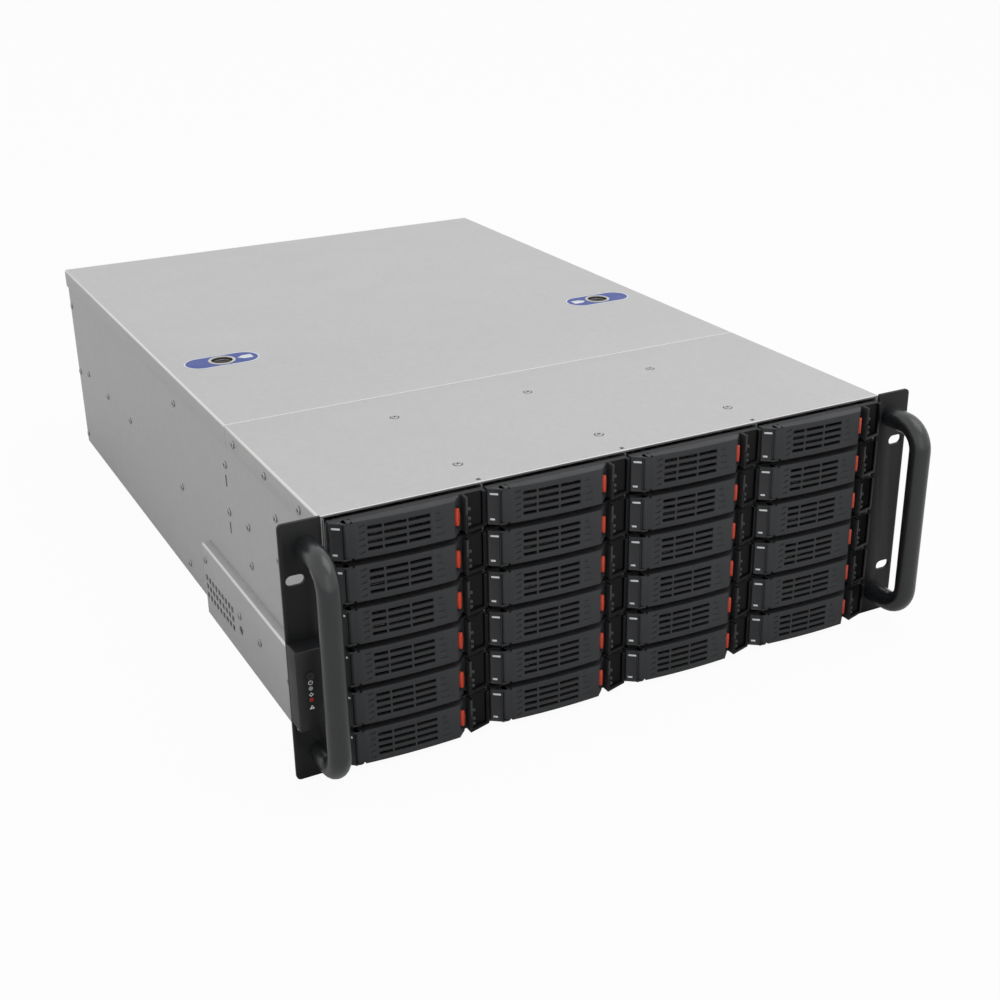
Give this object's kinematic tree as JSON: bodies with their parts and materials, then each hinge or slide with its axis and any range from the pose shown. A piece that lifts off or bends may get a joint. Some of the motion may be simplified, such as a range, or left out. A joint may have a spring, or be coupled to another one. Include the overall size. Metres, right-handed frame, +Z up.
{
  "type": "rackmount server case",
  "caption": "Four-unit rackmount server case with rows of hot-swap drive trays, a sliding rear top cover with push latches, rack ears and tubular handles.",
  "frame": {"origin": "on the underside, at the middle of the case's width and of its depth from the ears' front faces to the back panel", "axes": "+X to the right seen from the front, +Y to the back, +Z up"},
  "size_m": [0.4826, 0.7028, 0.177],
  "materials": {
    "galvanised_steel": "bare zinc-coated sheet steel",
    "tray_black": "black bezel on a steel carrier",
    "black_plastic": "fine-textured black plastic",
    "red_plastic": "glossy red plastic",
    "ear_black": "black powder coat",
    "handle_black": "semi-gloss black coat",
    "blue_label": "blue adhesive label with a white rim",
    "latch_steel": "plated steel cup",
    "screw_steel": "zinc-plated steel",
    "brass": "turned brass",
    "board_green": "green solder resist",
    "connector_black": "moulded connector bodies",
    "button_black": "satin black plastic"
  },
  "bodies": {
    "case": {"chassis_tub": "galvanised_steel", "rear_panel": "galvanised_steel", "slot_covers": "galvanised_steel", "standoffs": "brass", "front_cover": "galvanised_steel", "rack_ear_left": "ear_black", "rack_ear_right": "ear_black", "handle_left": "handle_black", "handle_right": "handle_black", "side_duct": "galvanised_steel", "control_panel": "black_plastic", "panel_board": "board_green", "drive_cage": "galvanised_steel", "backplanes": "board_green", "backplane_connectors": "connector_black", "fan_wall": "galvanised_steel", "fan_frames": "black_plastic", "case_screws": "screw_steel"},
    "rear_cover": {"rear_cover": "galvanised_steel", "latch_labels": "blue_label", "latch_cups": "latch_steel"},
    "latch_button_left": {"latch_button_left": "button_black"},
    "latch_button_right": {"latch_button_right": "button_black"},
    "power_button": {"power_button": "button_black"},
    "reset_button": {"reset_button": "button_black"},
    "fan_rotor_left": {"fan_rotor_left": "black_plastic"},
    "fan_rotor_middle": {"fan_rotor_middle": "black_plastic"},
    "fan_rotor_right": {"fan_rotor_right": "black_plastic"},
    "tray_r1_c1": {"tray_r1_c1": "tray_black"},
    "tray_r1_c2": {"tray_r1_c2": "tray_black"},
    "tray_r1_c3": {"tray_r1_c3": "tray_black"},
    "tray_r1_c4": {"tray_r1_c4": "tray_black"},
    "tray_r2_c1": {"tray_r2_c1": "tray_black"},
    "tray_r2_c2": {"tray_r2_c2": "tray_black"},
    "tray_r2_c3": {"tray_r2_c3": "tray_black"},
    "tray_r2_c4": {"tray_r2_c4": "tray_black"},
    "tray_r3_c1": {"tray_r3_c1": "tray_black"},
    "tray_r3_c2": {"tray_r3_c2": "tray_black"},
    "tray_r3_c3": {"tray_r3_c3": "tray_black"},
    "tray_r3_c4": {"tray_r3_c4": "tray_black"},
    "tray_r4_c1": {"tray_r4_c1": "tray_black"},
    "tray_r4_c2": {"tray_r4_c2": "tray_black"},
    "tray_r4_c3": {"tray_r4_c3": "tray_black"},
    "tray_r4_c4": {"tray_r4_c4": "tray_black"},
    "tray_r5_c1": {"tray_r5_c1": "tray_black"},
    "tray_r5_c2": {"tray_r5_c2": "tray_black"},
    "tray_r5_c3": {"tray_r5_c3": "tray_black"},
    "tray_r5_c4": {"tray_r5_c4": "tray_black"},
    "tray_r6_c1": {"tray_r6_c1": "tray_black"},
    "lever_r6_c1": {"lever_r6_c1": "black_plastic"},
    "release_r6_c1": {"release_r6_c1": "red_plastic"},
    "tray_r6_c2": {"tray_r6_c2": "tray_black"},
    "lever_r6_c2": {"lever_r6_c2": "black_plastic"},
    "release_r6_c2": {"release_r6_c2": "red_plastic"},
    "tray_r6_c3": {"tray_r6_c3": "tray_black"},
    "lever_r6_c3": {"lever_r6_c3": "black_plastic"},
    "release_r6_c3": {"release_r6_c3": "red_plastic"},
    "tray_r6_c4": {"tray_r6_c4": "tray_black"},
    "lever_r6_c4": {"lever_r6_c4": "black_plastic"},
    "release_r6_c4": {"release_r6_c4": "red_plastic"}
  },
  "joints": [
    {"name": "rear_cover_slide", "type": "slide", "parent": "case", "child": "rear_cover", "axis": [0, 1, 0], "range_m": [0, 0.018]},
    {"name": "latch_button_left_press", "type": "slide", "parent": "rear_cover", "child": "latch_button_left", "axis": [0, 0, -1], "range_m": [0, 0.0025], "stiffness_N_per_m": 400, "springref_m": -0.002},
    {"name": "latch_button_right_press", "type": "slide", "parent": "rear_cover", "child": "latch_button_right", "axis": [0, 0, -1], "range_m": [0, 0.0025], "stiffness_N_per_m": 400, "springref_m": -0.002},
    {"name": "power_button_press", "type": "slide", "parent": "case", "child": "power_button", "axis": [0, 1, 0], "range_m": [0, 0.0008], "stiffness_N_per_m": 500, "springref_m": -0.001},
    {"name": "reset_button_press", "type": "slide", "parent": "case", "child": "reset_button", "axis": [0, 1, 0], "range_m": [0, 0.0008], "stiffness_N_per_m": 500, "springref_m": -0.001},
    {"name": "fan_rotor_left_spin", "type": "hinge", "parent": "case", "child": "fan_rotor_left", "pos_m": [-0.13, -0.028, 0.074], "axis": [0, 1, 0], "continuous": true},
    {"name": "fan_rotor_middle_spin", "type": "hinge", "parent": "case", "child": "fan_rotor_middle", "pos_m": [0, -0.028, 0.074], "axis": [0, 1, 0], "continuous": true},
    {"name": "fan_rotor_right_spin", "type": "hinge", "parent": "case", "child": "fan_rotor_right", "pos_m": [0.13, -0.028, 0.074], "axis": [0, 1, 0], "continuous": true},
    {"name": "tray_r1_c1_slide", "type": "slide", "parent": "case", "child": "tray_r1_c1", "axis": [0, -1, 0], "range_m": [0, 0.165]},
    {"name": "tray_r1_c2_slide", "type": "slide", "parent": "case", "child": "tray_r1_c2", "axis": [0, -1, 0], "range_m": [0, 0.165]},
    {"name": "tray_r1_c3_slide", "type": "slide", "parent": "case", "child": "tray_r1_c3", "axis": [0, -1, 0], "range_m": [0, 0.165]},
    {"name": "tray_r1_c4_slide", "type": "slide", "parent": "case", "child": "tray_r1_c4", "axis": [0, -1, 0], "range_m": [0, 0.165]},
    {"name": "tray_r2_c1_slide", "type": "slide", "parent": "case", "child": "tray_r2_c1", "axis": [0, -1, 0], "range_m": [0, 0.165]},
    {"name": "tray_r2_c2_slide", "type": "slide", "parent": "case", "child": "tray_r2_c2", "axis": [0, -1, 0], "range_m": [0, 0.165]},
    {"name": "tray_r2_c3_slide", "type": "slide", "parent": "case", "child": "tray_r2_c3", "axis": [0, -1, 0], "range_m": [0, 0.165]},
    {"name": "tray_r2_c4_slide", "type": "slide", "parent": "case", "child": "tray_r2_c4", "axis": [0, -1, 0], "range_m": [0, 0.165]},
    {"name": "tray_r3_c1_slide", "type": "slide", "parent": "case", "child": "tray_r3_c1", "axis": [0, -1, 0], "range_m": [0, 0.165]},
    {"name": "tray_r3_c2_slide", "type": "slide", "parent": "case", "child": "tray_r3_c2", "axis": [0, -1, 0], "range_m": [0, 0.165]},
    {"name": "tray_r3_c3_slide", "type": "slide", "parent": "case", "child": "tray_r3_c3", "axis": [0, -1, 0], "range_m": [0, 0.165]},
    {"name": "tray_r3_c4_slide", "type": "slide", "parent": "case", "child": "tray_r3_c4", "axis": [0, -1, 0], "range_m": [0, 0.165]},
    {"name": "tray_r4_c1_slide", "type": "slide", "parent": "case", "child": "tray_r4_c1", "axis": [0, -1, 0], "range_m": [0, 0.165]},
    {"name": "tray_r4_c2_slide", "type": "slide", "parent": "case", "child": "tray_r4_c2", "axis": [0, -1, 0], "range_m": [0, 0.165]},
    {"name": "tray_r4_c3_slide", "type": "slide", "parent": "case", "child": "tray_r4_c3", "axis": [0, -1, 0], "range_m": [0, 0.165]},
    {"name": "tray_r4_c4_slide", "type": "slide", "parent": "case", "child": "tray_r4_c4", "axis": [0, -1, 0], "range_m": [0, 0.165]},
    {"name": "tray_r5_c1_slide", "type": "slide", "parent": "case", "child": "tray_r5_c1", "axis": [0, -1, 0], "range_m": [0, 0.165]},
    {"name": "tray_r5_c2_slide", "type": "slide", "parent": "case", "child": "tray_r5_c2", "axis": [0, -1, 0], "range_m": [0, 0.165]},
    {"name": "tray_r5_c3_slide", "type": "slide", "parent": "case", "child": "tray_r5_c3", "axis": [0, -1, 0], "range_m": [0, 0.165]},
    {"name": "tray_r5_c4_slide", "type": "slide", "parent": "case", "child": "tray_r5_c4", "axis": [0, -1, 0], "range_m": [0, 0.165]},
    {"name": "tray_r6_c1_slide", "type": "slide", "parent": "case", "child": "tray_r6_c1", "axis": [0, -1, 0], "range_m": [0, 0.165]},
    {"name": "lever_r6_c1_swing", "type": "hinge", "parent": "tray_r6_c1", "child": "lever_r6_c1", "pos_m": [-0.201, -0.3362, 0.16095], "axis": [0, 0, -1], "range_deg": [0, 60]},
    {"name": "release_r6_c1_press", "type": "slide", "parent": "lever_r6_c1", "child": "release_r6_c1", "axis": [-0.7071, 0.7071, 0], "range_m": [0, 0.0012], "stiffness_N_per_m": 400, "springref_m": -0.001},
    {"name": "tray_r6_c2_slide", "type": "slide", "parent": "case", "child": "tray_r6_c2", "axis": [0, -1, 0], "range_m": [0, 0.165]},
    {"name": "lever_r6_c2_swing", "type": "hinge", "parent": "tray_r6_c2", "child": "lever_r6_c2", "pos_m": [-0.095, -0.3362, 0.16095], "axis": [0, 0, -1], "range_deg": [0, 60]},
    {"name": "release_r6_c2_press", "type": "slide", "parent": "lever_r6_c2", "child": "release_r6_c2", "axis": [-0.7071, 0.7071, 0], "range_m": [0, 0.0012], "stiffness_N_per_m": 400, "springref_m": -0.001},
    {"name": "tray_r6_c3_slide", "type": "slide", "parent": "case", "child": "tray_r6_c3", "axis": [0, -1, 0], "range_m": [0, 0.165]},
    {"name": "lever_r6_c3_swing", "type": "hinge", "parent": "tray_r6_c3", "child": "lever_r6_c3", "pos_m": [0.011, -0.3362, 0.16095], "axis": [0, 0, -1], "range_deg": [0, 60]},
    {"name": "release_r6_c3_press", "type": "slide", "parent": "lever_r6_c3", "child": "release_r6_c3", "axis": [-0.7071, 0.7071, 0], "range_m": [0, 0.0012], "stiffness_N_per_m": 400, "springref_m": -0.001},
    {"name": "tray_r6_c4_slide", "type": "slide", "parent": "case", "child": "tray_r6_c4", "axis": [0, -1, 0], "range_m": [0, 0.165]},
    {"name": "lever_r6_c4_swing", "type": "hinge", "parent": "tray_r6_c4", "child": "lever_r6_c4", "pos_m": [0.117, -0.3362, 0.16095], "axis": [0, 0, -1], "range_deg": [0, 60]},
    {"name": "release_r6_c4_press", "type": "slide", "parent": "lever_r6_c4", "child": "release_r6_c4", "axis": [-0.7071, 0.7071, 0], "range_m": [0, 0.0012], "stiffness_N_per_m": 400, "springref_m": -0.001}
  ]
}
